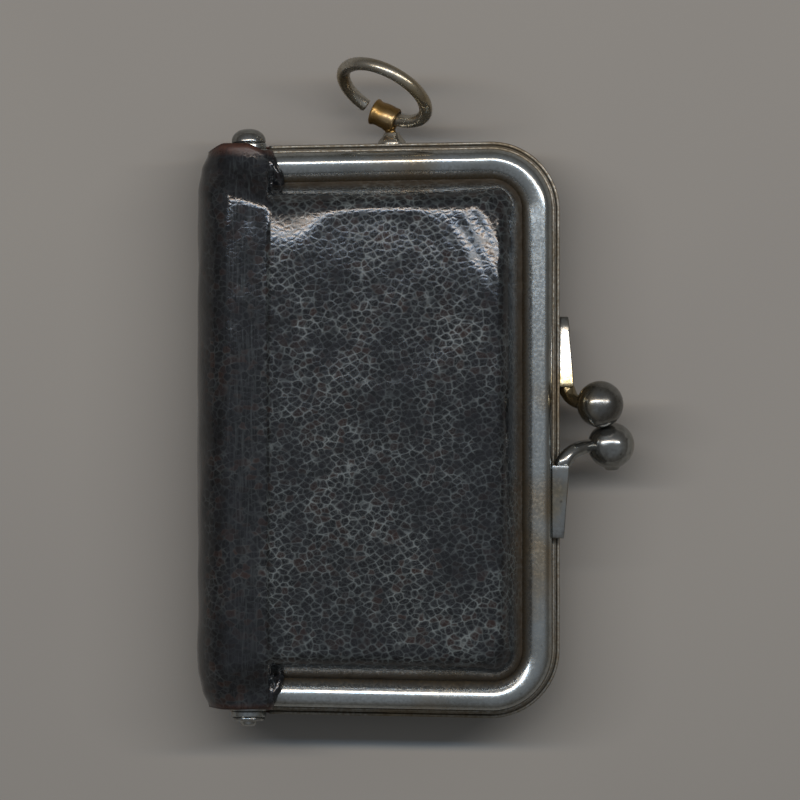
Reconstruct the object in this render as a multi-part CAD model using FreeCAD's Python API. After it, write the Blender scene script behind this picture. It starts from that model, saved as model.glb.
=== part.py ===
import FreeCAD
import Part
import math
import os

# A framed leather coin case, closed and lying on its back. Millimetres, +Z up to the front cover,
# +X to the clasp, +Y to the suspension ring. The origin is where the back cover rests on a table.
# Plan sizes are taken inwards from the rim line, the outermost edge of the back frame.
# Heights in the two halves are taken from the parting plane, away from the other half.

V = FreeCAD.Vector
Z_AXIS = V(0, 0, 1)

# Outline of the case
back_depth = 9.2
front_depth = 9.2
side_x = 22.05
arm_y = 37.66
arm_y_at_x = 12.0
arm_taper_deg = 1.07
corner_radius = 9.0
least_corner = 3.0

# Pressed metal frames
frame_sheet = 0.5
frame_depth = 4.2
front_frame_inset = 0.65
parting_gap = 0.1
lip_width = 0.45
lip_thickness = 0.4
crown_radius = 1.45
face_radius = 3.0
frame_width = 4.0
channel_end_x = -17.0
lip_end_x = -15.9

# Hinge
hinge_x = -18.6
ear_radius = 2.5
rivet_radius = 0.75
rivet_running_clearance = 0.05
washer_radius = 2.3
washer_thickness = 0.8
washer_seat_gap = 0.02
dome_radius = 2.25
dome_height = 1.85
closed_head_radius = 2.15
closed_head_thickness = 0.5
closed_nub_radius = 1.1
closed_nub_height = 0.7
closed_head_chamfer = 0.2
upset_radius = 1.4
upset_thickness = 0.4

# Leather
leather = 1.05
flange_height = 2.95
flange_outer_inset = 1.2
pad_edge_gap = 0.1
pad_hinge_x = -17.0
pad_hinge_corner = 3.0
shoulder_drop = 2.8
shoulder_inset = 0.8
rim_drop = 0.4
rim_inset = 3.3
rim_hinge_inset = 1.5
plateau_inset = 9.0
shoulder_round = 1.1
rim_round = 1.3
spine_reach_x = -25.3
spine_half_height = 7.9
spine_end_half_height = 5.3
spine_end_reach_x = -24.4
spine_pad_gap = 0.1
spine_full_y = 32.0
spine_drop_y = 34.2
spine_end_y = 36.1
tab_reach_x = -15.1
tab_start_y = 33.1
tab_thickness = 0.95
tab_seat_gap = 0.05
tab_corner = 1.3

# Inside pieces shared by the halves
inner_hinge_x = -15.9
plate_outline_corner = 1.5
strip_inset = 1.1
strip_width = 2.3
strip_bottom_height = 0.85
strip_end_x = -15.6
plate_height = 0.35
plate_thickness = 0.5
lining_clearance = 0.05
lining_thickness = 0.5
board_thickness = 0.8
packing_clearance = 0.1

# Coin wells: a sovereign is 22.05 across and 1.52 thick, a half sovereign 19.30 and 0.99
sovereign_diameter = 22.05
half_sovereign_diameter = 19.3
coin_clearance = 0.35
sovereign_place = (-1.6, 17.2)
half_sovereign_place = (0.4, -15.0)
cup_wall = 0.35
cup_roof_gap = 0.45
cup_corner = 0.9
rim_wall = 0.4
rim_lip_reach = 1.5
rim_lip_thickness = 0.35
rim_stand = 1.7
rim_foot_reach = 1.4
rim_foot_thickness = 0.25
rim_wrap_deg = 230.0
platform_thickness = 0.6
platform_clearance = 0.2
platform_rest_gap = 0.05
spring_wire_width = 0.45
spring_small_radius = 3.4
spring_margin = 2.6
spring_turns = 3
spring_seat_gap = 0.05
tray_rivet_radius = 0.4
tray_rivet_head_radius = 0.85
tray_rivet_head_height = 0.22
tray_rivet_x = (-11.5, 6.5)

# Kiss-lock clasp
ball_radius = 3.08
ball_half_spread = 1.45
back_ball_place = (27.3, 3.35)
front_ball_place = (28.78, -2.02)
plate_foot_height = 0.55
plate_top_height = 3.1
plate_corner = 0.35
back_plate_root_y = 5.58
back_plate_tail_y = 14.82
front_plate_root_y = -4.57
front_plate_tail_y = -14.16
plate_tail_depth = 1.75
plate_root_depth = 2.3
arm_width = 1.9
arm_chamfer = 0.5
arm_bend_radius = 2.0
arm_root_height = 1.85
arm_root_out = 1.3
arm_socket_depth = 1.6

# Suspension swivel and ring
swivel_x = 0.12
swivel_drop = 2.3
collar_radius = 1.85
collar_waist_radius = 1.35
collar_top_radius = 0.95
collar_belly_y = 37.75
collar_waist_y = 38.3
collar_top_y = 38.95
collar_wall_depth = 1.2
stem_radius = 0.5
stem_running_clearance = 0.06
neck_radius = 0.85
eye_place = (-0.8, 41.1)
eye_radius = 1.8
eye_face_radius = 1.6
eye_length = 3.4
eye_bore_radius = 1.25
stem_washer_radius = 0.8
stem_washer_thickness = 0.35
stem_washer_gap = 0.3
swivel_pocket_radius = 1.3
swivel_pocket_depth = 1.3
ring_radius = 5.94
ring_wire_radius = 0.875
ring_lean = (0.875, -0.483, 0.0)
ring_rise = (0.21, 0.381, 0.9)
ring_eye_deg = -76.0
ring_gap_start_deg = -103.5
ring_gap_deg = 12.0

parting_z = back_depth
taper = math.radians(arm_taper_deg)
half_gap = parting_gap / 2
wall_height = frame_depth - crown_radius
crown_inset = lip_width + crown_radius
pad_inset = frame_width + pad_edge_gap
cup_floor_height = front_depth - leather - cup_roof_gap
swivel_z = parting_z - swivel_drop


def rim_y(x, inset):
    """Half length of the case at x, on a line drawn inwards from the rim line by inset."""
    return arm_y + (x - arm_y_at_x) * math.tan(taper) - inset / math.cos(taper)


def height_z(height, front):
    """Height above the parting plane in the front half, or below it in the back half."""
    return parting_z + height if front else parting_z - height


def line(start, end):
    return Part.LineSegment(start, end).toShape()


def arc_through(start, middle, end):
    return Part.Arc(start, middle, end).toShape()


def arc_about(centre, radius, start_deg, end_deg):
    """Arc in a plane of constant z, from one angle to the other about centre."""
    spots = []
    for angle in (start_deg, (start_deg + end_deg) / 2, end_deg):
        turn = math.radians(angle)
        spots.append(centre + V(radius * math.cos(turn), radius * math.sin(turn), 0))
    return arc_through(*spots)


def corner_centre():
    x = side_x - corner_radius
    return V(x, rim_y(x, corner_radius), 0)


def case_outline(inset, hinge_side_x, hinge_corner, z, cut_corners=False):
    """Closed outline parallel to the rim line, with a straight side along the hinge."""
    radius = max(corner_radius - inset, least_corner)
    big_x = side_x - inset - radius
    big = V(big_x, rim_y(big_x, inset + radius), z)
    small_x = hinge_side_x + hinge_corner
    small = V(small_x, rim_y(small_x, inset + hinge_corner), z)
    big_low = V(big.x, -big.y, z)
    small_low = V(small.x, -small.y, z)
    lean = 90 + arm_taper_deg
    arcs = [
        arc_about(big, radius, 0, lean),
        arc_about(small, hinge_corner, lean, 180),
        arc_about(small_low, hinge_corner, 180, 360 - lean),
        arc_about(big_low, radius, 360 - lean, 360),
    ]
    if cut_corners:
        arcs = [line(arc.Vertexes[0].Point, arc.Vertexes[-1].Point) for arc in arcs]
    edges = []
    for here, after in zip(arcs, arcs[1:] + arcs[:1]):
        edges.append(here)
        edges.append(line(here.Vertexes[-1].Point, after.Vertexes[0].Point))
    return Part.Wire(edges)


def case_slab(inset, hinge_side_x, hinge_corner, low, high, front):
    """Flat plate of the case's outline between two heights of one half."""
    z = [height_z(low, front), height_z(high, front)]
    face = Part.Face(case_outline(inset, hinge_side_x, hinge_corner, min(z)))
    return face.extrude(V(0, 0, max(z) - min(z)))


def carry_round(face, end_x):
    """Sweep a section, drawn with x inwards from the rim line, round the open U of the case."""
    centre = corner_centre()
    side = face.copy()
    side.rotate(V(0, 0, 0), Z_AXIS, 180)
    side.translate(V(side_x, 0, 0))
    bar = side.extrude(V(0, centre.y, 0))
    side.translate(V(0, centre.y, 0))
    turn = 90 + arm_taper_deg
    corner = side.revolve(centre, Z_AXIS, turn)
    side.rotate(centre, Z_AXIS, turn)
    outward = V(-math.sin(taper), math.cos(taper), 0)
    start = centre + outward * corner_radius
    reach = (start.x - end_x) / math.cos(taper)
    arm = side.extrude(V(-math.cos(taper), -math.sin(taper), 0) * reach)
    half = bar.fuse([corner, arm])
    other = half.mirror(V(0, 0, 0), V(0, 1, 0))
    return half.fuse(other).removeSplitter()


def section_face(steps, inset, front):
    """Face from (across, height) points; a step of three points is an arc's middle and end."""
    def spot(point):
        return V(inset + point[0], 0, height_z(point[1], front))

    edges = []
    here = spot(steps[0])
    for step in steps[1:] + steps[:1]:
        if len(step) == 3:
            end = spot(step[2])
            edges.append(arc_through(here, spot(step[:2]), end))
        else:
            end = spot(step)
            edges.append(line(here, end))
        here = end
    return Part.Face(Part.Wire(edges))


def on_circle(centre, radius, angle_deg):
    turn = math.radians(angle_deg)
    return (centre[0] + radius * math.cos(turn), centre[1] + radius * math.sin(turn))


def channel_section(inset, front):
    """Frame sheet: outer wall, rounded crown and a face that dips to its inner edge."""
    crown = (crown_inset, wall_height)
    face = (crown_inset, frame_depth - face_radius)
    dip = math.degrees(math.acos((frame_width - crown_inset) / face_radius))
    steps = [
        (lip_width, half_gap),
        (lip_width, wall_height),
        on_circle(crown, crown_radius, 135) + (on_circle(crown, crown_radius, 90),),
        on_circle(face, face_radius, (90 + dip) / 2),
        on_circle(face, face_radius, dip),
        on_circle(face, face_radius - frame_sheet, dip),
        on_circle(face, face_radius - frame_sheet, 90),
        on_circle(crown, crown_radius - frame_sheet, 135),
        (lip_width + frame_sheet, wall_height),
        (lip_width + frame_sheet, half_gap),
    ]
    return section_face(steps, inset, front)


def box_section(near, far, low, high, inset, front):
    steps = [(near, low), (near, high), (far, high), (far, low)]
    return section_face(steps, inset, front)


def both_ends(shape):
    """The piece and its mirror image at the other end of the hinge."""
    return [shape, shape.mirror(V(0, 0, 0), V(0, 1, 0))]


def hinge_disc(radius, near_y, far_y):
    return Part.makeCylinder(radius, far_y - near_y, V(hinge_x, near_y, parting_z), V(0, 1, 0))


def ear_outer_y(inset):
    return rim_y(channel_end_x, inset + lip_width)


def make_frame(inset, front):
    """Channel and lip round the case, with an ear at each end of the hinge."""
    channel = carry_round(channel_section(inset, front), channel_end_x)
    lip = box_section(0, lip_width, half_gap, half_gap + lip_thickness, inset, front)
    frame = channel.fuse(carry_round(lip, lip_end_x))
    outer_y = ear_outer_y(inset)
    inner_y = outer_y - frame_sheet
    low, high = sorted([height_z(half_gap, front), height_z(wall_height, front)])
    web_reach = channel_end_x - hinge_x + frame_sheet
    web = Part.makeBox(web_reach, frame_sheet, high - low, V(hinge_x, inner_y, low))
    ear = web.fuse(hinge_disc(ear_radius, inner_y, outer_y))
    frame = frame.fuse(both_ends(ear))
    bore = hinge_disc(rivet_radius + rivet_running_clearance, inner_y - 1, outer_y + 1)
    return frame.cut(both_ends(bore)).removeSplitter()


def between(start, end, distance):
    """Point on the way from start to end, at a distance from start."""
    share = distance / math.dist(start, end)
    return tuple(a + (b - a) * share for a, b in zip(start, end))


def round_corner(before, corner, after, reach):
    """Three points that cut a profile's corner round, from reach before it to reach after it."""
    first = between(corner, before, reach)
    last = between(corner, after, reach)
    middle = tuple((a + 2 * c + b) / 4 for a, c, b in zip(first, corner, last))
    return [first, middle, last]


def pad_outline(skin, side_in, hinge_in, height, front, cut_corners=False):
    """Outline of a cover's pad at one height, less a skin, drawn in at the sides and the hinge."""
    inset = pad_inset + skin + (front_frame_inset if front else 0)
    hinge_side = pad_hinge_x + skin + hinge_in
    z = height_z(height, front)
    return case_outline(inset + side_in, hinge_side, pad_hinge_corner, z, cut_corners)


def pad_block(skin, side_in, hinge_in, low, high, front):
    """Straight-sided block of a pad's outline between two heights of one half."""
    face = Part.Face(pad_outline(skin, side_in, hinge_in, low, front))
    return face.extrude(V(0, 0, height_z(high, front) - height_z(low, front)))


def pad_form(skin, base_height, depth, front, rounded=False):
    """Cushion-like form of a cover: steep sides, a rounded rim and a flat plateau, less a skin.

    The plateau's corners are cut off straight, so that the closed case stands firmly on them.
    """
    top = depth - skin
    base = (base_height, 0, 0)
    shoulder = (top - shoulder_drop, shoulder_inset, shoulder_inset / 2)
    rim = (top - rim_drop, rim_inset, rim_hinge_inset)
    plateau = (top, plateau_inset, plateau_inset)
    levels = [base, shoulder, rim, plateau]
    if rounded:
        shoulder_turn = round_corner(base, shoulder, rim, shoulder_round)
        levels = [base] + shoulder_turn + round_corner(shoulder, rim, plateau, rim_round) + [plateau]
    wires = [
        pad_outline(skin, side_in, hinge_in, height, front, cut_corners=(height == top))
        for height, side_in, hinge_in in levels
    ]
    return Part.makeLoft(wires, True, True)


def make_cover(depth, front):
    """Leather cover: a pad standing up through the frame and a flange clamped under it."""
    inset = front_frame_inset if front else 0
    low = flange_height - leather
    outer = pad_form(0, low, depth, front, rounded=True)
    flange = case_slab(
        inset + flange_outer_inset, pad_hinge_x, plate_outline_corner, low, flange_height, front
    )
    hollow = pad_form(leather, low, depth, front)
    cover = outer.fuse(flange).cut(hollow)
    return cover if front else cover.cut(swivel_pocket())


def make_strip(front):
    """Packing strip that clamps the leather's flange inside the frame's channel."""
    inset = front_frame_inset if front else 0
    top = flange_height - leather
    face = box_section(
        strip_inset, strip_inset + strip_width, strip_bottom_height, top, inset, front
    )
    strip = carry_round(face, strip_end_x)
    return strip if front else strip.cut(swivel_pocket())


def swivel_pocket():
    """Room inside the back frame's wall for the swivel's riveted end."""
    wall_y = rim_y(swivel_x, lip_width + frame_sheet)
    start = V(swivel_x, wall_y - swivel_pocket_depth, swivel_z)
    return Part.makeCylinder(swivel_pocket_radius, swivel_pocket_depth, start, V(0, 1, 0))


def make_spine():
    """Leather spine: half a tube behind the hinge, drawn down at each end to cover the frames."""
    pad_side = pad_hinge_x - spine_pad_gap

    def section(y, half_height, reach_x):
        def rim(skin):
            tall = half_height - skin
            bend_x = reach_x + half_height
            spots = [V(pad_side, y, parting_z + tall)]
            for angle in (90, 45, 0, -45, -90):
                turn = math.radians(angle)
                across = bend_x - tall * math.cos(turn)
                spots.append(V(across, y, parting_z + tall * math.sin(turn)))
            return spots + [V(pad_side, y, parting_z - tall)]

        outer = rim(0)
        inner = list(reversed(rim(leather)))
        edges = []
        for spots in (outer, inner):
            edges.append(line(spots[0], spots[1]))
            edges.append(arc_through(*spots[1:4]))
            edges.append(arc_through(*spots[3:6]))
            edges.append(line(spots[5], spots[6]))
            after = inner if spots is outer else outer
            edges.append(line(spots[6], after[0]))
        return Part.Wire(edges)

    stations = [
        (spine_end_y, spine_end_half_height, spine_end_reach_x),
        (spine_drop_y, spine_end_half_height, spine_reach_x),
        (spine_full_y, spine_half_height, spine_reach_x),
    ]
    ends = Part.makeLoft([section(*station) for station in stations], True, True)
    middle = Part.Face(section(-spine_full_y, spine_half_height, spine_reach_x))
    spine = middle.extrude(V(0, 2 * spine_full_y, 0)).fuse(both_ends(ends))
    for front in (True, False):
        top = frame_depth + tab_seat_gap + tab_thickness
        low, high = sorted([height_z(top - tab_thickness, front), height_z(top, front)])
        start = V(pad_side - leather, tab_start_y, low)
        tab = Part.makeBox(
            tab_reach_x - start.x, spine_end_y - tab_start_y, high - low, start
        )
        corner = [e for e in tab.Edges if e.CenterOfMass.x > tab_reach_x - 1e-6
                  and e.CenterOfMass.y > spine_end_y - 1e-6]
        tab = tab.makeFillet(tab_corner, corner)
        spine = spine.fuse(both_ends(tab))
    return spine.removeSplitter()


def make_lining():
    """Open tray in the back half, for notes and stamps, with a rim that lies on the strip."""
    skin = leather + lining_clearance
    floor = board_bottom_height() - board_thickness - lining_clearance
    outer = pad_form(skin, plate_height, back_depth, False)
    inner = pad_form(skin + lining_thickness, plate_height - 1, back_depth, False)
    keep = case_slab(0, pad_hinge_x, plate_outline_corner, plate_height - 1, floor, False)
    keep_inner = case_slab(
        0, pad_hinge_x, plate_outline_corner, plate_height - 1, floor - lining_thickness, False
    )
    flange = case_slab(
        strip_inset, inner_hinge_x, plate_outline_corner, plate_height,
        plate_height + plate_thickness, False
    )
    return outer.common(keep).fuse(flange).cut(inner.common(keep_inner)).removeSplitter()


def board_bottom_height():
    """Outer face of the board, where the back cover's hollow is still as wide as its rim."""
    return back_depth - leather - lining_clearance - rim_drop


def make_board():
    """Stiff board between the back cover's leather and the lining's floor."""
    high = board_bottom_height()
    skin = leather + lining_clearance
    return pad_block(skin, rim_inset, rim_hinge_inset, high - board_thickness, high, False)


def well_cylinder(place, radius, low, high, front=True):
    z = sorted([height_z(low, front), height_z(high, front)])
    return Part.makeCylinder(radius, z[1] - z[0], V(place[0], place[1], z[0]))


def well_radius(coin_diameter):
    return coin_diameter / 2 + coin_clearance


def wells():
    return [
        ("sovereign", sovereign_place, well_radius(sovereign_diameter)),
        ("half_sovereign", half_sovereign_place, well_radius(half_sovereign_diameter)),
    ]


def make_packing():
    """Packing block under the front cover, with a hole for each coin cup."""
    skin = leather + packing_clearance
    low = plate_height + plate_thickness
    high = front_depth - skin - shoulder_drop
    packing = pad_block(skin, shoulder_inset, shoulder_inset / 2, low, high, True)
    for _, place, radius in wells():
        hole = radius + cup_wall + packing_clearance
        packing = packing.cut(well_cylinder(place, hole, low - 1, front_depth))
    return packing


def make_tray():
    """Metal plate that closes the front half, with a mouth over each coin cup."""
    high = plate_height + plate_thickness
    tray = case_slab(
        front_frame_inset + strip_inset, inner_hinge_x, plate_outline_corner, plate_height, high, True
    )
    for _, place, radius in wells():
        tray = tray.cut(well_cylinder(place, radius, plate_height - 1, high + 1))
    return tray.cut(tray_rivet_shanks())


def make_cup(place, radius):
    """Drawn cup under the tray that holds the spring and the coins."""
    mouth = plate_height + plate_thickness
    outer = radius + cup_wall
    inside = cup_floor_height - cup_wall
    inner_corner = cup_corner - cup_wall
    steps = [
        (0, inside),
        (radius - inner_corner, inside),
        (radius, inside - inner_corner),
        (radius, mouth),
        (outer, mouth),
        (outer, cup_floor_height - cup_corner),
        (outer - cup_corner, cup_floor_height),
        (0, cup_floor_height),
    ]
    face = section_face(steps, 0, True)
    face.translate(V(place[0], place[1], 0))
    return face.revolve(V(place[0], place[1], 0), Z_AXIS, 360)


def make_rim(place, radius):
    """Raised rim whose inward lip holds the coins; its open side lets the top coin slide out."""
    foot = plate_height - rim_foot_thickness
    top = plate_height - rim_stand - rim_lip_thickness
    outer = radius + rim_wall
    steps = [
        (radius - rim_lip_reach, top),
        (outer, top),
        (outer, foot),
        (radius + rim_foot_reach, foot),
        (radius + rim_foot_reach, plate_height),
        (radius, plate_height),
        (radius, top + rim_lip_thickness),
        (radius - rim_lip_reach, top + rim_lip_thickness),
    ]
    face = section_face(steps, 0, True)
    face.translate(V(place[0], place[1], 0))
    centre = V(place[0], place[1], 0)
    face.rotate(centre, Z_AXIS, 180 - rim_wrap_deg / 2)
    return face.revolve(centre, Z_AXIS, rim_wrap_deg)


def platform_top_height():
    return plate_height - rim_stand + platform_rest_gap


def make_platform(place, radius):
    """Sprung disc that lifts the coins against the rim's lip."""
    low = platform_top_height()
    return well_cylinder(place, radius - platform_clearance, low, low + platform_thickness)


def biarc(start, start_way, end, end_way):
    """Two arcs that leave start and reach end along the given directions."""
    span = end - start
    ways = start_way + end_way
    bend = 2 * (1 - start_way.dot(end_way))
    along = span.dot(ways)
    reach = (math.sqrt(along ** 2 + bend * span.dot(span)) - along) / bend
    first = start + start_way * reach
    second = end - end_way * reach
    joint = (first + second) * 0.5
    return [arc_under(start, first, joint), arc_under(joint, second, end)]


def arc_under(start, peak, end):
    """Arc from start to end whose end tangents meet at peak."""
    middle = (start + end) * 0.5
    rise = peak - middle
    half_chord = (end - start).Length / 2
    turn = math.atan2(rise.Length, half_chord)
    top = middle + rise.normalize() * (half_chord * math.tan(turn / 2))
    return arc_through(start, top, end)


def make_spring(name, place, radius):
    """Conical spring of square wire under the platform, half a turn to each pair of arcs."""
    half_wire = spring_wire_width / 2
    low = platform_top_height() + platform_thickness + half_wire + spring_seat_gap
    high = cup_floor_height - cup_wall - half_wire - spring_seat_gap
    wide = radius - spring_margin
    steps = spring_turns * 2
    climb = (high - low) / (spring_turns * 2 * math.pi)
    widen = (wide - spring_small_radius) / (spring_turns * 2 * math.pi)

    def spot(turn):
        reach = spring_small_radius + widen * turn
        return V(
            place[0] + reach * math.cos(turn),
            place[1] + reach * math.sin(turn),
            height_z(low + climb * turn, True),
        )

    def way(turn):
        reach = spring_small_radius + widen * turn
        return V(
            widen * math.cos(turn) - reach * math.sin(turn),
            widen * math.sin(turn) + reach * math.cos(turn),
            climb,
        ).normalize()

    edges = []
    for step in range(steps):
        here = step * math.pi
        after = here + math.pi
        edges += biarc(spot(here), way(here), spot(after), way(after))
    path = Part.Wire(edges)
    across = Z_AXIS.cross(way(0)).normalize() * half_wire
    up = way(0).cross(across).normalize() * half_wire
    corners = [spot(0) + across * a + up * b for a, b in ((1, 1), (-1, 1), (-1, -1), (1, -1))]
    section = Part.makePolygon(corners + corners[:1])
    spring = path.makePipeShell([section], True, False)
    print(f"{name}_spring least gap between turns {least_turn_gap(edges):.2f} mm")
    return spring


def least_turn_gap(edges):
    """Smallest clear distance between points of the wire that are half a turn or more apart."""
    spots = []
    for edge in edges:
        spots += edge.discretize(12)[:-1]
    skip = 12 * 3
    gaps = [
        (a - b).Length for i, a in enumerate(spots) for b in spots[i + skip:]
    ]
    return min(gaps) - spring_wire_width * math.sqrt(2)


def tray_rivet_places():
    inset = front_frame_inset + strip_inset + strip_width / 2
    return [(x, rim_y(x, inset) * end) for x in tray_rivet_x for end in (1, -1)]


def tray_rivet_shanks():
    top = flange_height - leather
    shanks = [
        well_cylinder(place, tray_rivet_radius, plate_height, top)
        for place in tray_rivet_places()
    ]
    return Part.makeCompound(shanks)


def make_tray_rivets():
    """Small rivets through the tray into the front strip, with low dished heads."""
    rivets = []
    for place in tray_rivet_places():
        head = Part.makeCone(
            tray_rivet_head_radius, tray_rivet_radius, tray_rivet_head_height,
            V(place[0], place[1], height_z(plate_height, True)), -Z_AXIS
        )
        shank = well_cylinder(place, tray_rivet_radius, plate_height, flange_height - leather)
        rivets.append(head.fuse(shank).removeSplitter())
    return Part.makeCompound(rivets)


def washer_seat_y():
    return ear_outer_y(0) + washer_seat_gap


def rivet_shank():
    start = ear_outer_y(front_frame_inset) - frame_sheet - rivet_running_clearance
    end = washer_seat_y() + washer_thickness + washer_seat_gap
    shank = hinge_disc(rivet_radius, start, end)
    upset = hinge_disc(upset_radius, start - upset_thickness, start)
    return shank.fuse(upset), end


def make_dome_rivet():
    """Hinge rivet with a high domed head, at the ring's end."""
    shank, seat = rivet_shank()
    ball = (dome_radius ** 2 + dome_height ** 2) / (2 * dome_height)
    sphere = Part.makeSphere(ball, V(hinge_x, seat + dome_height - ball, parting_z))
    head = sphere.common(hinge_disc(dome_radius, seat, seat + dome_height + 1))
    return shank.fuse(head).removeSplitter()


def make_flat_rivet():
    """Hinge rivet closed over flat, with a low nub, at the other end."""
    shank, seat = rivet_shank()
    head_end = seat + closed_head_thickness
    head = turned([
        (0, seat),
        (closed_head_radius, seat),
        (closed_head_radius, head_end - closed_head_chamfer),
        (closed_head_radius - closed_head_chamfer, head_end),
        (closed_nub_radius, head_end),
        (closed_nub_radius / 2, head_end + closed_nub_height),
        (0, head_end + closed_nub_height),
    ], hinge_x, parting_z)
    return shank.fuse(head).removeSplitter().mirror(V(0, 0, 0), V(0, 1, 0))


def make_washers():
    """Thick washers under the heads of the hinge rivets."""
    seat = washer_seat_y()
    washer = hinge_disc(washer_radius, seat, seat + washer_thickness)
    bore = hinge_disc(rivet_radius + rivet_running_clearance, seat - 1, seat + 2)
    return Part.makeCompound(both_ends(washer.cut(bore)))


def make_clasp_plate(root_y, tail_y, front):
    """Tapered plate soldered to a frame's outer wall, thickest where the clasp arm grows."""
    wall_x = side_x - lip_width - (front_frame_inset if front else 0)
    z = sorted([height_z(plate_foot_height, front), height_z(plate_top_height, front)])
    corners = [
        V(wall_x, root_y, z[0]),
        V(wall_x + plate_root_depth, root_y, z[0]),
        V(wall_x + plate_tail_depth, tail_y, z[0]),
        V(wall_x, tail_y, z[0]),
    ]
    plate = Part.Face(Part.makePolygon(corners + corners[:1])).extrude(V(0, 0, z[1] - z[0]))
    outer = [
        e for e in plate.Edges
        if e.CenterOfMass.x > wall_x + plate_corner
        and abs(e.CenterOfMass.y - (root_y + tail_y) / 2) < 1
    ]
    return plate.makeFillet(plate_corner, outer)


def clasp_points(root_y, ball_place, front):
    """Arm root on the plate's end, and ball centre, which sits past the parting plane."""
    wall_x = side_x - lip_width - (front_frame_inset if front else 0)
    root = V(wall_x + arm_root_out, root_y, height_z(arm_root_height, front))
    ball = V(ball_place[0], ball_place[1], height_z(-ball_half_spread, front))
    return root, ball


def make_clasp_arm(root_y, ball_place, front):
    """Chamfered arm that leaves the plate's end, bends outwards and runs into the ball."""
    root, ball = clasp_points(root_y, ball_place, front)
    ahead = V(0, math.copysign(1, ball.y - root.y), 0)
    span = ball - root
    rise = abs(span.y)
    out = V(span.x, 0, span.z)
    across = out.Length
    out.normalize()
    bend_start = root + ahead * (rise - arm_bend_radius)
    centre = bend_start + out * arm_bend_radius
    bend_end = centre + ahead * arm_bend_radius
    diagonal = (ahead - out).normalize()
    tip = root + ahead * rise + out * (across - ball_radius + arm_socket_depth)
    path = Part.Wire([
        line(root, bend_start),
        arc_through(bend_start, centre + diagonal * arm_bend_radius, bend_end),
        line(bend_end, tip),
    ])
    half = arm_width / 2
    flat = half - arm_chamfer
    side = ahead.cross(out)
    corners = []
    for a, b in ((1, 1), (-1, 1), (-1, -1), (1, -1)):
        near, far = (half * a, flat * b), (flat * a, half * b)
        for spot in (near, far) if a * b > 0 else (far, near):
            corners.append(root + out * spot[0] + side * spot[1])
    section = Part.makePolygon(corners + corners[:1])
    return path.makePipeShell([section], True, False)


def make_ball(arm, root_y, ball_place, front):
    """Ball of the clasp, socketed on its arm."""
    _, centre = clasp_points(root_y, ball_place, front)
    return Part.makeSphere(ball_radius, centre).cut(arm)


def turned(profile, x, z):
    """Solid turned about a line along Y, from (radius, y) points."""
    spots = [V(x + radius, y, z) for radius, y in profile]
    face = Part.Face(Part.makePolygon(spots + spots[:1]))
    return face.revolve(V(x, 0, z), V(0, 1, 0), 360)


def back_frame_core():
    """Filled shape of the back frame's wall, which the collar's foot sits against."""
    edge = lip_width
    steps = [
        (edge, half_gap),
        (edge, wall_height),
        on_circle((crown_inset, wall_height), crown_radius, 135) + ((crown_inset, frame_depth),),
        (frame_width, frame_depth),
        (frame_width, half_gap),
    ]
    return carry_round(section_face(steps, 0, False), channel_end_x)


def make_collar():
    """Bell-shaped collar on the back frame's wall that the swivel turns in."""
    foot = rim_y(swivel_x, lip_width) - collar_wall_depth
    bore = stem_radius + stem_running_clearance
    profile = [
        (bore, foot),
        (collar_radius * 0.94, foot),
        (collar_radius * 0.94, collar_belly_y - 0.35),
        (collar_radius, collar_belly_y),
        (collar_waist_radius, collar_waist_y),
        (collar_waist_radius * 0.93, collar_waist_y + 0.08),
        (collar_top_radius, collar_top_y),
        (bore, collar_top_y),
    ]
    return turned(profile, swivel_x, swivel_z).cut(back_frame_core())


def swivel_bore():
    wall = rim_y(swivel_x, lip_width)
    return Part.makeCylinder(
        stem_radius + stem_running_clearance, 3, V(swivel_x, wall - 2, swivel_z), V(0, 1, 0)
    )


def ring_frame():
    """Centre of the ring and its two in-plane directions."""
    lean = V(*ring_lean).normalize()
    rise = V(*ring_rise)
    rise = (rise - lean * rise.dot(lean)).normalize()
    turn = math.radians(ring_eye_deg)
    eye = V(eye_place[0], eye_place[1], swivel_z)
    centre = eye - (lean * math.cos(turn) + rise * math.sin(turn)) * ring_radius
    return centre, lean, rise


def eye_direction():
    """Way the ring's wire runs where it passes the eye."""
    _, lean, rise = ring_frame()
    turn = math.radians(ring_eye_deg)
    return rise * math.cos(turn) - lean * math.sin(turn)


def stem_washer_y():
    wall = rim_y(swivel_x, lip_width + frame_sheet)
    return wall - stem_washer_gap - stem_washer_thickness


def make_eye():
    """Barrel-shaped eye on a bent neck and a stem that turns in the collar."""
    eye = V(eye_place[0], eye_place[1], swivel_z)
    way = eye_direction()
    half = eye_length / 2
    side = way.cross(V(0, 1, 0)).normalize()
    outline = [eye - way * half]
    for share, radius in ((-1, eye_face_radius), (-0.8, eye_face_radius), (-0.35, eye_radius),
                          (0.35, eye_radius), (0.8, eye_face_radius), (1, eye_face_radius)):
        outline.append(eye + way * half * share + side * radius)
    outline.append(eye + way * half)
    barrel = Part.Face(Part.makePolygon(outline + outline[:1])).revolve(eye, way, 360)
    foot = V(swivel_x, collar_top_y + stem_washer_gap, swivel_z)
    low = V(swivel_x, stem_washer_y(), swivel_z)
    stem = Part.makeCylinder(stem_radius, foot.y - low.y, low, V(0, 1, 0))
    neck_way = eye - foot
    neck_top = foot + neck_way * 0.5
    low_ring = Part.Wire(Part.Circle(foot, V(0, 1, 0), stem_radius * 1.5).toShape())
    high_ring = Part.Wire(Part.Circle(neck_top, V(0, 1, 0), neck_radius * 1.4).toShape())
    neck = Part.makeLoft([low_ring, high_ring], True, True)
    bore = Part.makeCylinder(eye_bore_radius, eye_length * 2, eye - way * eye_length, way)
    return barrel.fuse([stem, neck]).cut(bore).removeSplitter()


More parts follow.
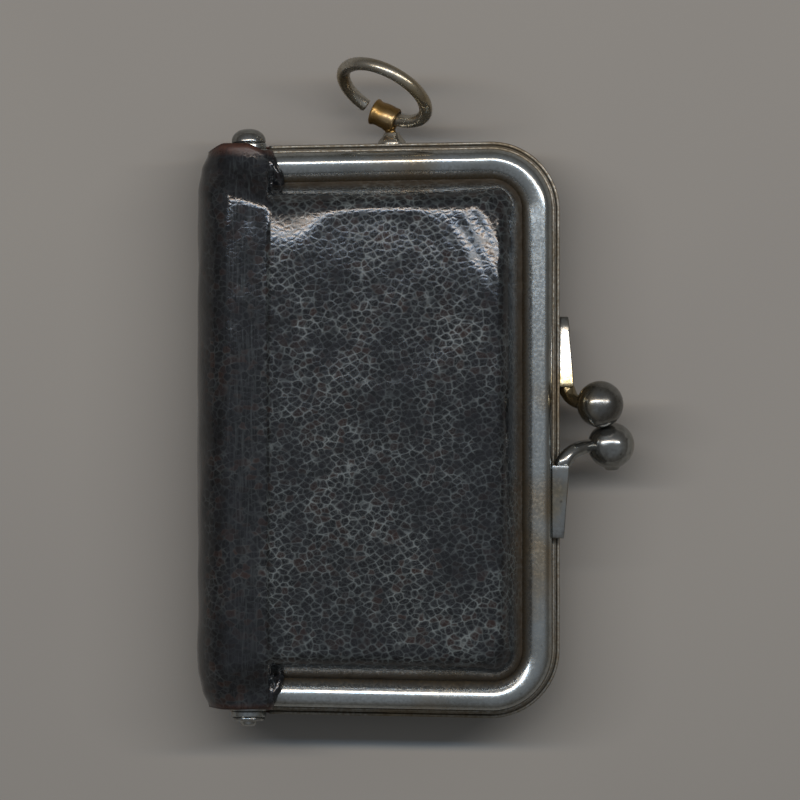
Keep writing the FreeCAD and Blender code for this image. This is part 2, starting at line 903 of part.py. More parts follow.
def make_stem_washer():
    """Washer that the stem's end is riveted over, inside the frame's wall."""
    start = V(swivel_x, stem_washer_y(), swivel_z)
    outer = Part.makeCylinder(stem_washer_radius, stem_washer_thickness, start, V(0, 1, 0))
    inner = Part.makeCylinder(stem_radius, stem_washer_thickness, start, V(0, 1, 0))
    return outer.cut(inner)


def make_ring():
    """Suspension ring of round wire, open by a small gap beside the eye."""
    centre, lean, rise = ring_frame()
    start = math.radians(ring_gap_start_deg + ring_gap_deg)
    spot = centre + (lean * math.cos(start) + rise * math.sin(start)) * ring_radius
    way = rise * math.cos(start) - lean * math.sin(start)
    section = Part.Face(Part.Wire(Part.Circle(spot, way, ring_wire_radius).toShape()))
    return section.revolve(centre, lean.cross(rise), 360 - ring_gap_deg)


def build_parts():
    parts = {}
    parts["back_frame"] = make_frame(0, False).cut(swivel_bore())
    parts["front_frame"] = make_frame(front_frame_inset, True)
    parts["back_leather"] = make_cover(back_depth, False)
    parts["front_leather"] = make_cover(front_depth, True)
    parts["spine_leather"] = make_spine()
    parts["back_strip"] = make_strip(False)
    parts["front_strip"] = make_strip(True).cut(tray_rivet_shanks())
    parts["back_board"] = make_board()
    parts["back_lining"] = make_lining()
    parts["front_packing"] = make_packing()
    parts["coin_tray"] = make_tray()
    parts["tray_rivets"] = make_tray_rivets()
    for name, place, radius in wells():
        parts[name + "_cup"] = make_cup(place, radius)
        parts[name + "_rim"] = make_rim(place, radius)
        parts[name + "_platform"] = make_platform(place, radius)
        parts[name + "_spring"] = make_spring(name, place, radius)
    parts["hinge_rivet_top"] = make_dome_rivet()
    parts["hinge_rivet_bottom"] = make_flat_rivet()
    parts["hinge_washers"] = make_washers()
    clasps = [
        ("back", back_plate_root_y, back_plate_tail_y, back_ball_place, False),
        ("front", front_plate_root_y, front_plate_tail_y, front_ball_place, True),
    ]
    for name, root_y, tail_y, place, front in clasps:
        arm = make_clasp_arm(root_y, place, front)
        parts[name + "_clasp_plate"] = make_clasp_plate(root_y, tail_y, front)
        parts[name + "_clasp_arm"] = arm
        parts[name + "_clasp_ball"] = make_ball(arm, root_y, place, front)
    parts["swivel_collar"] = make_collar()
    parts["swivel_eye"] = make_eye()
    parts["swivel_washer"] = make_stem_washer()
    parts["ring"] = make_ring()
    return parts


os.makedirs("parts", exist_ok=True)
for node, shape in build_parts().items():
    if not shape.isValid():
        print(f"{node} is not a valid shape")
    shape.exportStep(f"parts/{node}.step")
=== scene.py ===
import math

import bmesh
import bpy
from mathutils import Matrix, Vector, noise


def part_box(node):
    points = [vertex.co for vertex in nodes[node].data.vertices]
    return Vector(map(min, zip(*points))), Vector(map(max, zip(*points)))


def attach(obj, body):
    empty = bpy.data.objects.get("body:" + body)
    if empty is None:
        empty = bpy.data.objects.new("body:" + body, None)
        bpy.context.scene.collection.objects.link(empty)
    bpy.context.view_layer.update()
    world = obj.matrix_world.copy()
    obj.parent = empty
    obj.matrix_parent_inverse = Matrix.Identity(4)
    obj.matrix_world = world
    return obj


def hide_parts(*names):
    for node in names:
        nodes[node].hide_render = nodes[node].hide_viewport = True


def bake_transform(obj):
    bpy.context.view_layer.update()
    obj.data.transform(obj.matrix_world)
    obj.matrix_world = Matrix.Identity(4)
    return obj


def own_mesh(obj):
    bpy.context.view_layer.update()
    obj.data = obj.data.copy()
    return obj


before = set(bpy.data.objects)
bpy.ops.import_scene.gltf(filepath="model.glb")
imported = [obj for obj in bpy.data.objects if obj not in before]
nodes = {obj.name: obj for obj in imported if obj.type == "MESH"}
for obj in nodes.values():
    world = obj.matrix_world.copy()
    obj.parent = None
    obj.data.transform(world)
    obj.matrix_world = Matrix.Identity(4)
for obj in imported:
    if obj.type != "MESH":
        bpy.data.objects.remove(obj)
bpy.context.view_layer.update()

# Sizes are in millimetres, and make_mesh turns them into metres.
MM = 0.001
PARTING_Z = 9.2
SIDE_X = 22.05
ARM_Y = 37.66
ARM_Y_AT_X = 12.0
TAPER = math.radians(1.07)
CORNER_RADIUS = 9.0
FRONT_INSET = 0.65
CHANNEL_END_X = -17.0
LIP_END_X = -15.9
PAD_HINGE_X = -17.0
HINGE_X = -18.6
HINGE_SPOT = (HINGE_X, 0, PARTING_Z)
PAD_START = 4.15
SHEET = 0.5
WALL_IN = 0.45


def make_mesh(name, points, faces, material, smooth=True):
    data = bpy.data.meshes.new(name)
    data.from_pydata([tuple(c * MM for c in p) for p in points], [], faces)
    data.validate()
    data.update()
    piece = bpy.data.objects.new(name, data)
    bpy.context.scene.collection.objects.link(piece)
    data.materials.append(material)
    for face in data.polygons:
        face.use_smooth = smooth
    return piece


def wall_faces(rows, count):
    """Faces that join each of the rows, closed loops of count points, to the next."""
    faces = []
    for i in range(rows - 1):
        for k in range(count):
            after = (k + 1) % count
            faces.append((i * count + k, i * count + after, (i + 1) * count + after, (i + 1) * count + k))
    return faces


def mesh_from_loops(name, loops, material):
    """Skin through closed loops of equal length, with a face over each end."""
    count = len(loops[0])
    points = [p for loop in loops for p in loop]
    faces = wall_faces(len(loops), count)
    faces.append(tuple(reversed(range(count))))
    start = (len(loops) - 1) * count
    faces.append(tuple(range(start, start + count)))
    return make_mesh(name, points, faces, material)


def face_out(piece):
    """Turn every face's normal outwards."""
    shape = bmesh.new()
    shape.from_mesh(piece.data)
    bmesh.ops.recalc_face_normals(shape, faces=shape.faces)
    shape.to_mesh(piece.data)
    shape.free()
    return piece


def add_bevel(piece, width):
    bevel = piece.modifiers.new("edge", "BEVEL")
    bevel.width = width * MM
    bevel.segments = 3
    bevel.limit_method = "ANGLE"
    bevel.angle_limit = math.radians(35)


def closing_faces(start, count):
    """Faces that close the innermost loop of an outline, joining its long sides across the middle."""
    half = count // 2
    faces = []
    for k in range(half // 2):
        left = half - k
        if k + 1 < left - 1:
            faces.append((start + k, start + k + 1, start + left - 1, start + left))
            mirrored = [(count - k) % count, (count - k - 1) % count, half + k + 1, half + k]
            faces.append(tuple(start + index for index in mirrored))
    return faces


def lerp(a, b, share):
    return a + (b - a) * share


def smooth_step(low, high, value):
    share = min(max((value - low) / (high - low), 0.0), 1.0)
    return share * share * (3 - 2 * share)


def bump_at(x, y, centre, spread):
    """Bell-shaped weight round a place, 1 at its centre."""
    return math.exp(-(((x - centre[0]) / spread[0]) ** 2 + ((y - centre[1]) / spread[1]) ** 2) / 2)


def read_profile(profile, value):
    """Value at a place on a list of (place, value) knots, straight between them."""
    if value <= profile[0][0]:
        return profile[0][1]
    for (a, va), (b, vb) in zip(profile, profile[1:]):
        if value <= b:
            return lerp(va, vb, (value - a) / (b - a))
    return profile[-1][1]


def soft_profile(profile, value, window=0.3):
    """The same, with the corners between knots rounded off."""
    total = 0.0
    for i in range(-3, 4):
        total += read_profile(profile, value + window * i / 3)
    return total / 7


def circle(count):
    """Unit directions round a circle, as (cosine, sine)."""
    angles = [2 * math.pi * k / count for k in range(count)]
    return [(math.cos(angle), math.sin(angle)) for angle in angles]


def on_circle(centre, radius, angle):
    return (centre[0] + radius * math.cos(angle), centre[1] + radius * math.sin(angle))


def rim_y(x, inset):
    """Where the rim's upper side, which slopes a little, lies along y at x, an inset in from it."""
    return ARM_Y + (x - ARM_Y_AT_X) * math.tan(TAPER) - inset / math.cos(TAPER)


def rim_stations(end_x):
    """Places on the case's rim line with the direction inwards, from one arm's end to the other's."""
    corner_x = SIDE_X - CORNER_RADIUS
    corner_y = rim_y(corner_x, CORNER_RADIUS)
    turn = math.radians(90) + TAPER
    upper = []
    start_x = corner_x + CORNER_RADIUS * math.cos(turn)
    for i in range(44):
        x = lerp(end_x, start_x, i / 44)
        upper.append((x, rim_y(x, 0), (math.sin(TAPER), -math.cos(TAPER))))
    for i in range(29):
        angle = turn * (1 - i / 28)
        x, y = on_circle((corner_x, corner_y), CORNER_RADIUS, angle)
        upper.append((x, y, (-math.cos(angle), -math.sin(angle))))
    for i in range(1, 32):
        upper.append((SIDE_X, lerp(corner_y, 0, i / 32), (-1.0, 0.0)))
    lower = [(x, -y, (n[0], -n[1])) for x, y, n in reversed(upper)]
    return upper + [(SIDE_X, 0.0, (-1.0, 0.0))] + lower


def half_z(height, front):
    return PARTING_Z + height if front else PARTING_Z - height


def outline(inset, hinge_x, hinge_corner, z):
    """Closed loop parallel to the rim line with a straight side along the hinge, 324 points."""
    half_width = (SIDE_X - inset - hinge_x) / 2
    big_r = min(max(CORNER_RADIUS - inset, 3.0), half_width * 0.98)
    small_r = min(hinge_corner, half_width * 0.98)
    big_x = SIDE_X - inset - big_r
    big = (big_x, rim_y(big_x, inset + big_r))
    small_x = hinge_x + small_r
    small = (small_x, rim_y(small_x, inset + small_r))
    quarter = math.radians(90)
    turn = quarter + TAPER
    points = []
    for i in range(48):
        points.append((SIDE_X - inset, lerp(0, big[1], i / 48)))
    for i in range(20):
        points.append(on_circle(big, big_r, turn * i / 20))
    start = on_circle(big, big_r, turn)
    end = on_circle(small, small_r, turn)
    for i in range(34):
        points.append((lerp(start[0], end[0], i / 34), lerp(start[1], end[1], i / 34)))
    for i in range(12):
        points.append(on_circle(small, small_r, turn + (quarter - TAPER) * i / 12))
    for i in range(48):
        points.append((hinge_x, lerp(small[1], 0, i / 48)))
    mirrored = [(x, -y) for x, y in reversed(points[1:])]
    ring = points + [(hinge_x, 0.0)] + mirrored
    return [(x, y, z) for x, y in ring]


# Materials


LEATHER_CELLS = 1120.0


def new_material(name):
    material = bpy.data.materials.new(name)
    material.use_nodes = True
    tree = material.node_tree
    shader = tree.nodes["Principled BSDF"]
    return material, tree, shader


def node(tree, kind, inputs=None, **settings):
    made = tree.nodes.new(kind)
    for key, value in settings.items():
        setattr(made, key, value)
    for key, value in (inputs or {}).items():
        socket = made.inputs[key]
        if isinstance(value, bpy.types.NodeSocket):
            tree.links.new(value, socket)
        else:
            socket.default_value = value
    return made


def noise_at(tree, coords, scale, detail):
    made = node(tree, "ShaderNodeTexNoise", {"Vector": coords, "Scale": scale, "Detail": detail})
    return made.outputs["Fac"]


def add_bump(tree, shader, height, strength, distance):
    made = node(tree, "ShaderNodeBump", {"Height": height, "Strength": strength, "Distance": distance})
    tree.links.new(made.outputs[0], shader.inputs["Normal"])


def ramp(tree, factor, stops):
    """Colour read off a list of (place, colour) stops by a factor."""
    made = node(tree, "ShaderNodeValToRGB", {"Fac": factor})
    while len(made.color_ramp.elements) < len(stops):
        made.color_ramp.elements.new(0.5)
    for element, (place, colour) in zip(made.color_ramp.elements, stops):
        element.position = place
        element.color = (*colour[:3], 1.0)
    return made.outputs[0]


def grey_ramp(tree, factor, stops):
    """The same in greys, with stops as (place, lightness)."""
    return ramp(tree, factor, [(place, (value, value, value)) for place, value in stops])


def srgb(red, green, blue):
    """Linear colour from 0-255 values."""
    parts = []
    for value in (red, green, blue):
        share = value / 255
        parts.append(share / 12.92 if share <= 0.04045 else ((share + 0.055) / 1.055) ** 2.4)
    return (*parts, 1.0)


def mix_colour(tree, factor, first, second):
    made = node(tree, "ShaderNodeMix", data_type="RGBA", blend_type="MIX")
    for key, value in (("Factor", factor), ("A", first), ("B", second)):
        socket = [s for s in made.inputs if s.name == key and s.enabled][0]
        if isinstance(value, bpy.types.NodeSocket):
            tree.links.new(value, socket)
        else:
            socket.default_value = value
    return [s for s in made.outputs if s.enabled][0]


def maths(tree, kind, first, second=0.0, third=None, clamp=False):
    made = node(tree, "ShaderNodeMath", operation=kind, use_clamp=clamp)
    for index, value in enumerate((first, second, third)):
        if value is None:
            continue
        if isinstance(value, bpy.types.NodeSocket):
            tree.links.new(value, made.inputs[index])
        else:
            made.inputs[index].default_value = value
    return made.outputs[0]


def times(tree, first, second, clamp=False):
    return maths(tree, "MULTIPLY", first, second, clamp=clamp)


def times_add(tree, first, second, third, clamp=False):
    return maths(tree, "MULTIPLY_ADD", first, second, third, clamp)


def places(tree):
    return node(tree, "ShaderNodeTexCoord").outputs["Object"]


def warped(tree, coords, scale, amount):
    """Coordinates pushed about by noise, so that a pattern loses its regularity."""
    wander = node(tree, "ShaderNodeTexNoise", {"Vector": coords, "Scale": scale, "Detail": 2.0})
    offset = node(
        tree, "ShaderNodeVectorMath",
        {0: wander.outputs["Color"], 1: (-0.5, -0.5, -0.5)}, operation="ADD",
    )
    pushed = node(
        tree, "ShaderNodeVectorMath",
        {0: offset.outputs[0], 1: (amount, amount, amount)}, operation="MULTIPLY",
    )
    moved = node(tree, "ShaderNodeVectorMath", {0: coords, 1: pushed.outputs[0]}, operation="ADD")
    return moved.outputs[0]


def edge_distance(tree, coords, scale, randomness):
    """Distance to the nearest border between cells."""
    return node(
        tree, "ShaderNodeTexVoronoi", {"Vector": coords, "Scale": scale, "Randomness": randomness},
        feature="DISTANCE_TO_EDGE",
    ).outputs["Distance"]


def worn_veins(tree, cells, small, middles, patch, fine, broken):
    """Pale wear in the grooves between cells, broken up and stronger in patches."""
    ragged = times_add(tree, fine, 0.09, maths(tree, "SUBTRACT", cells, 0.045))
    wide_vein = grey_ramp(tree, ragged, [(0.0, 0.9), (0.06, 0.62), (0.13, 0.22), (0.24, 0.0)])
    rounded = times_add(tree, fine, 0.3, middles)
    corner = grey_ramp(tree, rounded, [(0.5, 0.25), (0.72, 0.7), (0.95, 1.0)])
    wide_vein = times(tree, wide_vein, corner)
    thin_vein = grey_ramp(tree, small, [(0.0, 0.3), (0.05, 0.1), (0.12, 0.0)])
    vein = maths(tree, "MAXIMUM", wide_vein, thin_vein)
    wear = grey_ramp(tree, patch, [(0.33, 0.28), (0.62, 1.0)])
    spotty = grey_ramp(tree, broken, [(0.3, 0.25), (0.6, 1.0)])
    return times(tree, vein, times(tree, wear, spotty))


def veins_near_pad(tree, spot, vein):
    """Near the pads the spine shows as many veins as they do, and fine lines along its inner bend."""
    out = node(tree, "ShaderNodeSeparateXYZ", {0: spot}).outputs[0]
    near = times_add(tree, out, 450.0, 7.9, clamp=True)
    vein = times(tree, vein, times_add(tree, near, 1.8, 1.0), clamp=True)
    combed = node(tree, "ShaderNodeMapping", {"Vector": spot, "Scale": (1.0, 0.07, 0.3)}).outputs[0]
    lines = grey_ramp(tree, noise_at(tree, combed, 3400.0, 2.0), [(0.48, 0.0), (0.7, 0.16)])
    where = grey_ramp(
        tree, times_add(tree, out, 100.0, 2.5),
        [(0.25, 0.0), (0.45, 1.0), (0.75, 1.0), (0.85, 0.0)],
    )
    return maths(tree, "MAXIMUM", vein, times(tree, lines, where))


def leather_cells(tree, shade, patch):
    """Near-black cells, of which some are brown, more of them in warm areas."""
    pick = node(tree, "ShaderNodeSeparateColor", {0: shade})
    brown = grey_ramp(tree, pick.outputs[0], [(0.7, 0.0), (0.95, 1.0)])
    warm_area = grey_ramp(tree, patch, [(0.42, 0.25), (0.6, 1.0)])
    brown = times(tree, brown, times(tree, warm_area, 0.75))
    dark = mix_colour(tree, pick.outputs[1], srgb(14, 15, 17), srgb(24, 25, 28))
    return mix_colour(tree, brown, dark, srgb(44, 30, 25))


def raw_end_rub(tree, spot, fine, broken):
    """How rubbed the leather is towards its two raw ends along y."""
    along = node(tree, "ShaderNodeSeparateXYZ", {0: spot}).outputs[1]
    wavy = times_add(tree, broken, 0.0009, maths(tree, "ABSOLUTE", along))
    rub_and_shade = grey_ramp(tree, times(tree, wavy, 25.0), [(0.9, 0.0), (0.915, 0.45), (0.932, 1.0)])
    return times(tree, rub_and_shade, times_add(tree, fine, 1.1, 0.15), clamp=True)


def leather_material(
    name, stretch=(1.0, 1.0, 1.0), turn=0.0, vein_light=1.0, raw_ends=False, base_shade_and_dirt=False,
    meets_pad=False,
):
    """Crackled, worn dark leather: near-black cells, some brown, with pale veins between them."""
    material, tree, shader = new_material(name)
    spot = places(tree)
    scaled = node(
        tree, "ShaderNodeMapping",
        {"Vector": spot, "Rotation": (0.0, 0.0, math.radians(turn)), "Scale": stretch},
    ).outputs[0]
    loose = warped(tree, scaled, 330.0, 0.0009)
    loose = warped(tree, loose, 1300.0, 0.0004)
    cells = edge_distance(tree, loose, LEATHER_CELLS, 0.8)
    small = edge_distance(tree, loose, 1900.0, 1.0)
    blobs = node(tree, "ShaderNodeTexVoronoi", {"Vector": loose, "Scale": LEATHER_CELLS, "Randomness": 0.8})
    patch = noise_at(tree, spot, 95.0, 4.0)
    fine = noise_at(tree, spot, 2600.0, 3.0)
    broken = noise_at(tree, spot, 520.0, 3.0)
    vein = worn_veins(tree, cells, small, blobs.outputs["Distance"], patch, fine, broken)
    vein = times(tree, vein, vein_light, clamp=True)
    if meets_pad:
        vein = veins_near_pad(tree, spot, vein)
    cell = leather_cells(tree, blobs.outputs["Color"], patch)
    vein_colour = mix_colour(tree, patch, srgb(84, 96, 99), srgb(106, 111, 108))
    colour = mix_colour(tree, vein, cell, vein_colour)
    gloss = grey_ramp(tree, fine, [(0.3, 0.1), (0.7, 0.16)])
    gloss = times_add(tree, vein, 0.25, gloss, clamp=True)
    if raw_ends:
        rub_and_shade = raw_end_rub(tree, spot, fine, broken)
        colour = mix_colour(tree, rub_and_shade, colour, srgb(80, 50, 38))
        gloss = times_add(tree, rub_and_shade, 0.5, gloss, clamp=True)
    if base_shade_and_dirt:
        # Brown where the leather leaves the metal: dirt, and painted shade standing in for the band there.
        rub_and_shade = node(tree, "ShaderNodeAttribute", attribute_name="shade_and_grime").outputs["Fac"]
        rub_and_shade = times(tree, rub_and_shade, times_add(tree, broken, 0.9, 0.3), clamp=True)
        colour = mix_colour(tree, rub_and_shade, colour, srgb(86, 76, 62))
        gloss = times_add(tree, rub_and_shade, 0.5, gloss, clamp=True)
    tree.links.new(colour, shader.inputs["Base Color"])
    tree.links.new(gloss, shader.inputs["Roughness"])
    relief = grey_ramp(tree, cells, [(0.0, 0.0), (0.25, 0.8), (0.5, 1.0)])
    add_bump(tree, shader, times_add(tree, fine, 0.05, relief), 0.22, 0.00004)
    shader.inputs["Specular IOR Level"].default_value = 0.42
    return material


def metal_material(
    name, light, dark, rough=(0.22, 0.4), warm=None, grain=900.0, bumps=0.00001, dull=0.5, shaded_and_grimy=False,
):
    """Worn plated metal: patchy tarnish, fine speckle and small pits."""
    material, tree, shader = new_material(name)
    spot = places(tree)
    patch = noise_at(tree, spot, 160.0, 6.0)
    speck = noise_at(tree, spot, grain * 3, 4.0)
    pits = node(
        tree, "ShaderNodeTexVoronoi", {"Vector": spot, "Scale": grain, "Randomness": 1.0}
    ).outputs["Distance"]
    blotch = grey_ramp(tree, patch, [(0.35, 0.0), (0.68, 1.0)])
    colour = mix_colour(tree, times(tree, blotch, dull), light, dark)
    dust = grey_ramp(tree, speck, [(0.42, 0.0), (0.64, 1.0)])
    colour = mix_colour(tree, times(tree, dust, 0.35), colour, dark)
    if warm:
        warm_patch = noise_at(tree, spot, 90.0, 3.0)
        stain = grey_ramp(tree, warm_patch, [(0.5, 0.0), (0.66, 0.8)])
        colour = mix_colour(tree, stain, colour, warm)
    pit = grey_ramp(tree, pits, [(0.05, 0.55), (0.16, 0.0)])
    colour = mix_colour(tree, pit, colour, dark)
    if shaded_and_grimy:
        # Brown painted shade and reflection, with some grime, goes where the mesh's layer says, broken up
        # by the speckle.
        shade_and_grime = node(tree, "ShaderNodeAttribute", attribute_name="shade_and_grime").outputs["Fac"]
        shade_and_grime = times(tree, shade_and_grime, times_add(tree, speck, 0.9, 0.45), clamp=True)
        colour = mix_colour(tree, shade_and_grime, colour, srgb(100, 90, 72))
    tree.links.new(colour, shader.inputs["Base Color"])
    shader.inputs["Metallic"].default_value = 0.95
    gloss = grey_ramp(tree, patch, [(0.3, rough[0]), (0.7, rough[1])])
    gloss = times_add(tree, dust, 0.1, gloss, clamp=True)
    if shaded_and_grimy:
        gloss = times_add(tree, shade_and_grime, 0.35, gloss, clamp=True)
    tree.links.new(gloss, shader.inputs["Roughness"])
    height = times_add(tree, speck, 0.5, pits)
    add_bump(tree, shader, height, 0.35, bumps)
    return material


def card_material(name, colour_a, colour_b):
    """Pressed card or glue-soaked packing, with fibres."""
    material, tree, shader = new_material(name)
    spot = places(tree)
    fibre = noise_at(tree, spot, 900.0, 5.0)
    patch = noise_at(tree, spot, 110.0, 3.0)
    mixed = times_add(tree, fibre, 0.5, times(tree, patch, 0.5))
    colour = ramp(tree, mixed, [(0.35, colour_a), (0.65, colour_b)])
    tree.links.new(colour, shader.inputs["Base Color"])
    shader.inputs["Roughness"].default_value = 0.85
    add_bump(tree, shader, fibre, 0.4, 0.00005)
    return material


def lining_material(name):
    """Thin maroon lining leather with a fine pebble grain, rubbed at raised places."""
    material, tree, shader = new_material(name)
    spot = places(tree)
    pebble = edge_distance(tree, warped(tree, spot, 900.0, 0.0004), 1900.0, 1.0)
    patch = noise_at(tree, spot, 120.0, 4.0)
    base = mix_colour(tree, patch, srgb(78, 30, 28), srgb(112, 50, 40))
    groove = grey_ramp(tree, pebble, [(0.0, 0.7), (0.1, 0.0)])
    colour = mix_colour(tree, groove, base, srgb(48, 18, 18))
    tree.links.new(colour, shader.inputs["Base Color"])
    add_bump(tree, shader, pebble, 0.5, 0.00008)
    gloss = grey_ramp(tree, patch, [(0.3, 0.42), (0.7, 0.6)])
    tree.links.new(gloss, shader.inputs["Roughness"])
    return material


def floor_material(name):
    material, tree, shader = new_material(name)
    spot = places(tree)
    patch = noise_at(tree, spot, 14.0, 2.0)
    colour = ramp(tree, patch, [(0.3, srgb(141, 138, 132)), (0.7, srgb(145, 142, 135))])
    tree.links.new(colour, shader.inputs["Base Color"])
    shader.inputs["Roughness"].default_value = 0.9
    shader.inputs["Specular IOR Level"].default_value = 0.15
    return material


front_hide = leather_material(
    "crackled_leather", stretch=(0.9, 1.12, 1.0), turn=-35.0, vein_light=1.15, base_shade_and_dirt=True,
)
back_hide = leather_material("back_leather_hide", turn=20.0, vein_light=0.7, base_shade_and_dirt=True)
spine_hide = leather_material(
    "spine_leather_hide", stretch=(0.9, 1.12, 1.0), turn=-35.0, vein_light=0.32, raw_ends=True,
    meets_pad=True,
)
tab_hide = leather_material("tab_leather_hide", vein_light=0.35, raw_ends=True)
nickel = metal_material(
    "worn_nickel", srgb(174, 179, 178), srgb(100, 100, 92), rough=(0.12, 0.2), dull=0.5,
    warm=srgb(146, 130, 104), bumps=0.000006, shaded_and_grimy=True,
)
clasp_nickel = metal_material(
    "clasp_nickel", srgb(168, 171, 168), srgb(66, 60, 52), rough=(0.1, 0.2), dull=0.7,
    warm=srgb(140, 124, 88), grain=600.0, bumps=0.00001,
)
ring_nickel = metal_material(
    "ring_nickel", srgb(190, 186, 174), srgb(104, 96, 80), rough=(0.18, 0.32), dull=0.5,
    warm=srgb(150, 132, 92), grain=1200.0,
)
brass = metal_material(
    "rubbed_brass", srgb(178, 146, 88), srgb(92, 66, 36), rough=(0.2, 0.4), dull=0.7,
    warm=srgb(170, 160, 140), grain=1200.0,
)
gilt = metal_material(
    "gilt_metal", srgb(214, 178, 104), srgb(140, 104, 52), rough=(0.16, 0.3), dull=0.4, grain=1400.0,
)
spring_steel = metal_material(
    "spring_steel_wire", srgb(150, 152, 156), srgb(70, 66, 62), rough=(0.25, 0.4), dull=0.5,
)
card = card_material("packing_card_fibre", srgb(118, 98, 72), srgb(158, 136, 104))
lining = lining_material("lining_leather_grain")


# Leather pads


PAD_RISE = [
    (0.0, 2.55), (0.3, 3.35), (0.8, 4.6), (1.5, 6.25), (2.2, 7.65), (2.6, 8.28), (2.9, 8.57), (3.3, 8.8),
    (3.7, 8.915), (4.05, 8.965), (4.5, 8.985), (6.0, 9.0), (10.0, 9.05), (20.0, 9.1),
]


def hinge_inset(step):
    """How far the pad's hinge side has come in when its other sides have come in by step."""
    return step * lerp(0.3, 1.0, smooth_step(2.0, 9.0, step))


def step_at(x, y, front):
    """How far inside the pad's outline a point near its hinge side lies, in the other sides' measure."""
    low, high = 0.0, 17.0
    for _ in range(18):
        middle = (low + high) / 2
        if PAD_HINGE_X + hinge_inset(middle) < x:
            low = middle
        else:
            high = middle
    inset = PAD_START + (FRONT_INSET if front else 0)
    return min(low, rim_y(x, inset) - abs(y))


SOVEREIGN_SPOT = (-1.8, 17.35)
HALF_SPOT = (0.5, -15.0)


def front_pad_height(x, y, depth_in):
    """Height of the front pad over the parting plane, with the dents and ridges it shows."""
    height = soft_profile(PAD_RISE, depth_in)
    settled = smooth_step(0.0, 3.0, depth_in)
    height -= 1.0 * settled * bump_at(x, y, (15.4, 30.0), (4.2, 4.8))
    height -= 0.7 * settled * bump_at(x, y, (-13.6, 30.4), (3.2, 2.8))
    height -= 0.35 * settled * bump_at(x, y, (14.0, -30.0), (5.0, 4.0))
    for place, radius in ((SOVEREIGN_SPOT, 12.3), (HALF_SPOT, 10.8)):
        gap = math.dist((x, y), place) - radius
        height += 0.045 * settled * math.exp(-(gap / 1.1) ** 2)
        height -= 0.03 * settled * smooth_step(1.0, -3.0, gap)
    height += 0.07 * settled * noise.noise(Vector((x, y, 3.0)) * 0.16)
    height += 0.02 * settled * noise.noise(Vector((x, y, 8.0)) * 0.45)
    crease = math.sin((x * 0.86 + y * 0.5) * 3.2 + 2.0 * noise.noise(Vector((x, y, 1.0)) * 0.12))
    height += 0.07 * crease * bump_at(x, y, (13.0, 25.5), (4.5, 6.0))
    return height


def back_pad_height(x, y, depth_in):
    """Height of the back pad, with a few shallow hollows."""
    settled = smooth_step(1.0, 4.0, depth_in)
    hollow = 0.1 * settled * smooth_step(0.0, 0.4, noise.noise(Vector((x, y, 21.0)) * 0.13))
    return soft_profile(PAD_RISE, depth_in) - hollow


def make_pad(name, front, height_of, material):
    """Closed leather pad that stands up through a frame, domed and slightly dented."""
    inset = PAD_START + (FRONT_INSET if front else 0)
    steps = [0.0, 0.06, 0.12, 0.2, 0.3, 0.42, 0.55, 0.7, 0.85, 1.05, 1.3, 1.6, 1.9, 2.25, 2.6, 3.0, 3.4]
    widest = (SIDE_X - inset - PAD_HINGE_X) / 2 - 0.35
    value = 3.85
    while value < widest:
        steps.append(value)
        value += 0.5
    loops = []
    for step in steps:
        # The hinge side rises more steeply than the others.
        ring = outline(inset + step, PAD_HINGE_X + hinge_inset(step), 1.2, 0)
        loops.append([(x, y, half_z(height_of(x, y, step), front)) for x, y, _ in ring])
    foot = half_z(1.95, front)
    flange_top = half_z(2.7, front)
    flange = outline(inset - 2.6, PAD_HINGE_X + 0.02, 1.5, foot)
    base = [
        [(x, y, flange_top) for x, y, _ in flange],
        flange,
        [(x, y, foot) for x, y, _ in loops[0]],
    ]
    loops = base + loops
    count = len(flange)
    points = [p for ring in loops for p in ring]
    faces = wall_faces(len(loops), count) + closing_faces((len(loops) - 1) * count, count)
    piece = face_out(make_mesh(name, points, faces, material))
    # Layer for the brown base band: dirt and painted shade, fading inwards and weaker near the hinge.
    layer = piece.data.attributes.new("shade_and_grime", "FLOAT", "POINT")
    for index in range(len(points)):
        step = steps[max(index // count - len(base), 0)]
        near_hinge = smooth_step(-12.0, -15.0, points[index][0])
        layer.data[index].value = 0.85 * smooth_step(1.5, 0.1, step) * (1 - 0.7 * near_hinge)
    return piece


front_cover = make_pad("front_cover_leather", True, front_pad_height, front_hide)
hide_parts("front_leather")
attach(front_cover, "front_half")
back_cover = make_pad("back_cover_leather", False, back_pad_height, back_hide)
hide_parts("back_leather")
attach(back_cover, "back_half")


# Spine leather


SPINE_HALF = 8.35
SPINE_END_Y = 36.1
LAP_END = 1.3
FLAP_X = -15.3
SPINE_FALL = [
    (0.0, SPINE_HALF), (29.0, SPINE_HALF), (29.9, 8.15), (31.2, 7.3), (33.0, 5.9), (34.0, 5.35),
    (34.7, 5.15), (37.0, 4.7),
]


def spine_tip(y):
    """How far the spine reaches out at y."""
    away = abs(y)
    tip = -25.28 + 0.1 * (y / 36.0) ** 2
    tip += 0.55 * smooth_step(31.0, 34.5, away) + 0.9 * smooth_step(34.0, SPINE_END_Y, away)
    return tip + 0.12 * noise.noise(Vector((0.0, y * 0.12, 5.0)))


def spine_half(y, x=FLAP_X):
    """Half the spine's thickness at y; it falls off sooner near the pads than at its outer side."""
    away = abs(y) - 0.3 * max(-16.5 - max(x, -21.5), 0)
    return soft_profile(SPINE_FALL, away)


def tab_height(across, x):
    """Height of the leather lapped over a frame's end, at a distance in from the rim line."""
    crown = 4.2 - 0.42 * max(1.9 - across, 0) ** 2 - 0.14 * max(across - 1.9, 0) ** 2
    return crown - 0.5 * smooth_step(-14.0, -15.6, x) + 0.95


